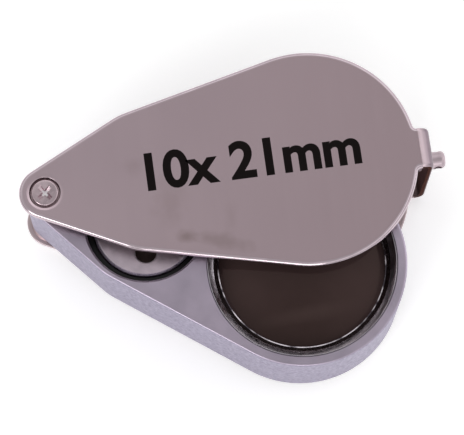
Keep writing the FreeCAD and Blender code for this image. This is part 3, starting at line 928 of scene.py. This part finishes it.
STAY = {
    "upper_friction_washer": nylon,
    "lower_friction_washer": nylon,
    "lens_cell": black,
    "contact_spring": spring_metal,
    "cap_contact_plate": brass,
    "white_led": epoxy,
    "led_bezel": ring_polish,
    "led_anode_lead": brass,
    "led_cathode_lead": brass,
    "led_contact_strip": brass,
    "switch_bush": screw_plating,
    "switch_button": screw_plating,
    "button_spring": spring_metal,
    "switch_contact": brass,
    "lower_button_cell": cell_metal,
    "middle_button_cell": cell_metal,
    "upper_button_cell": cell_metal,
    "lanyard_stud": stud_plating,
    "pivot_barrel": screw_plating,
}
for node, material in STAY.items():
    obj = frame["nodes"][node]
    obj.data.materials.clear()
    obj.data.materials.append(material)


# ---------------------------------------------------------------- camera, floor and light

def make_camera():
    """The camera at the viewing angle: tilt from straight down, azimuth and roll in degrees."""
    tilt, azimuth, roll = math.radians(13.1), math.radians(-9.73), math.radians(1.98)
    distance = 0.3462
    focal_mm = 203.7
    target = Vector((pivot.x + 23.5, -2.4, 0)) * MM
    back = Vector((math.sin(tilt) * math.sin(azimuth), -math.sin(tilt) * math.cos(azimuth), math.cos(tilt)))
    level = Vector((math.cos(azimuth), math.sin(azimuth), 0))
    upright = back.cross(level)
    right = level * math.cos(roll) + upright * math.sin(roll)
    up = upright * math.cos(roll) - level * math.sin(roll)
    data = bpy.data.cameras.new("camera")
    data.lens = focal_mm
    camera = bpy.data.objects.new("camera", data)
    bpy.context.scene.collection.objects.link(camera)
    rotation = Matrix((right, up, back)).transposed().to_4x4()
    camera.matrix_world = Matrix.Translation(target + back * distance) @ rotation
    bpy.context.scene.camera = camera


def make_floor():
    """A plain pale floor at the height that the cover rests on."""
    half = 1.5
    level = -0.05 * MM
    bm = bmesh.new()
    corners = [(-half, -half), (half, -half), (half, half), (-half, half)]
    bm.faces.new([bm.verts.new((x, y, level)) for x, y in corners])
    mesh = bpy.data.meshes.new("floor")
    bm.to_mesh(mesh)
    bm.free()
    floor = bpy.data.objects.new("floor", mesh)
    bpy.context.scene.collection.objects.link(floor)
    material, main = shader("floor_paint", roughness=0.9, color=(0.95, 0.95, 0.95))
    main.inputs["Specular IOR Level"].default_value = 0.1
    main.inputs["Emission Color"].default_value = (1, 1, 1, 1)
    main.inputs["Emission Strength"].default_value = 0.30
    mesh.materials.append(material)


def make_sun(name, azimuth, elevation, strength, spread_deg):
    """A soft distant light from a direction."""
    data = bpy.data.lights.new(name, "SUN")
    data.energy = strength
    data.angle = math.radians(spread_deg)
    sun = bpy.data.objects.new(name, data)
    bpy.context.scene.collection.objects.link(sun)
    a, e = math.radians(azimuth), math.radians(elevation)
    back = Vector((math.sin(a) * math.cos(e), -math.cos(a) * math.cos(e), math.sin(e)))
    sun.rotation_mode = "QUATERNION"
    sun.rotation_quaternion = (-back).to_track_quat("-Z", "Y")


def make_world():
    """A plain room: dim overhead, brighter at the sides, darker low down, most of all on the left."""
    world = bpy.data.worlds.new("studio")
    world.use_nodes = True
    nodes, links = world.node_tree.nodes, world.node_tree.links
    way = nodes.new("ShaderNodeTexCoord")
    split = nodes.new("ShaderNodeSeparateXYZ")
    links.new(way.outputs["Generated"], split.inputs["Vector"])

    def ramp(source, stops):
        node = nodes.new("ShaderNodeValToRGB")
        elements = node.color_ramp.elements
        while len(elements) < len(stops):
            elements.new(1.0)
        for element, (height, level) in zip(elements, stops):
            element.position = height
            element.color = (level, level, level, 1)
        links.new(source, node.inputs["Fac"])
        return node.outputs["Color"]

    left = ramp(split.outputs["Z"], [
        (0.0, 0.35), (0.12, 0.2), (0.28, 0.22), (0.38, 1.1), (0.84, 0.68), (1.0, 0.63)])
    right = ramp(split.outputs["Z"], [
        (0.0, 0.5), (0.10, 0.6), (0.35, 0.95), (0.75, 1.4), (0.90, 0.66), (1.0, 0.63)])
    across = nodes.new("ShaderNodeMapRange")
    across.inputs["From Min"].default_value = -0.5
    across.inputs["From Max"].default_value = 0.4
    links.new(split.outputs["X"], across.inputs["Value"])
    mix = nodes.new("ShaderNodeMix")
    mix.data_type = "RGBA"
    links.new(across.outputs["Result"], mix.inputs["Factor"])
    links.new(left, mix.inputs["A"])
    links.new(right, mix.inputs["B"])
    depth = nodes.new("ShaderNodeMapRange")
    depth.inputs["From Min"].default_value = -1
    depth.inputs["From Max"].default_value = 1
    depth.inputs["To Min"].default_value = 0.8
    depth.inputs["To Max"].default_value = 1.0
    links.new(split.outputs["Y"], depth.inputs["Value"])
    background = nodes["Background"]
    links.new(mix.outputs["Result"], background.inputs["Color"])
    links.new(depth.outputs["Result"], background.inputs["Strength"])
    bpy.context.scene.world = world


def make_light():
    """The room and three soft distant lights, each from an azimuth and an elevation in degrees."""
    make_world()
    make_sun("key", -46, 29, 0.75, 26)
    make_sun("front", -6, 22, 0.4, 20)
    make_sun("side", 97, 9, 0.2, 18)


make_camera()
make_floor()
make_light()
bpy.context.scene.view_settings.view_transform = "Standard"
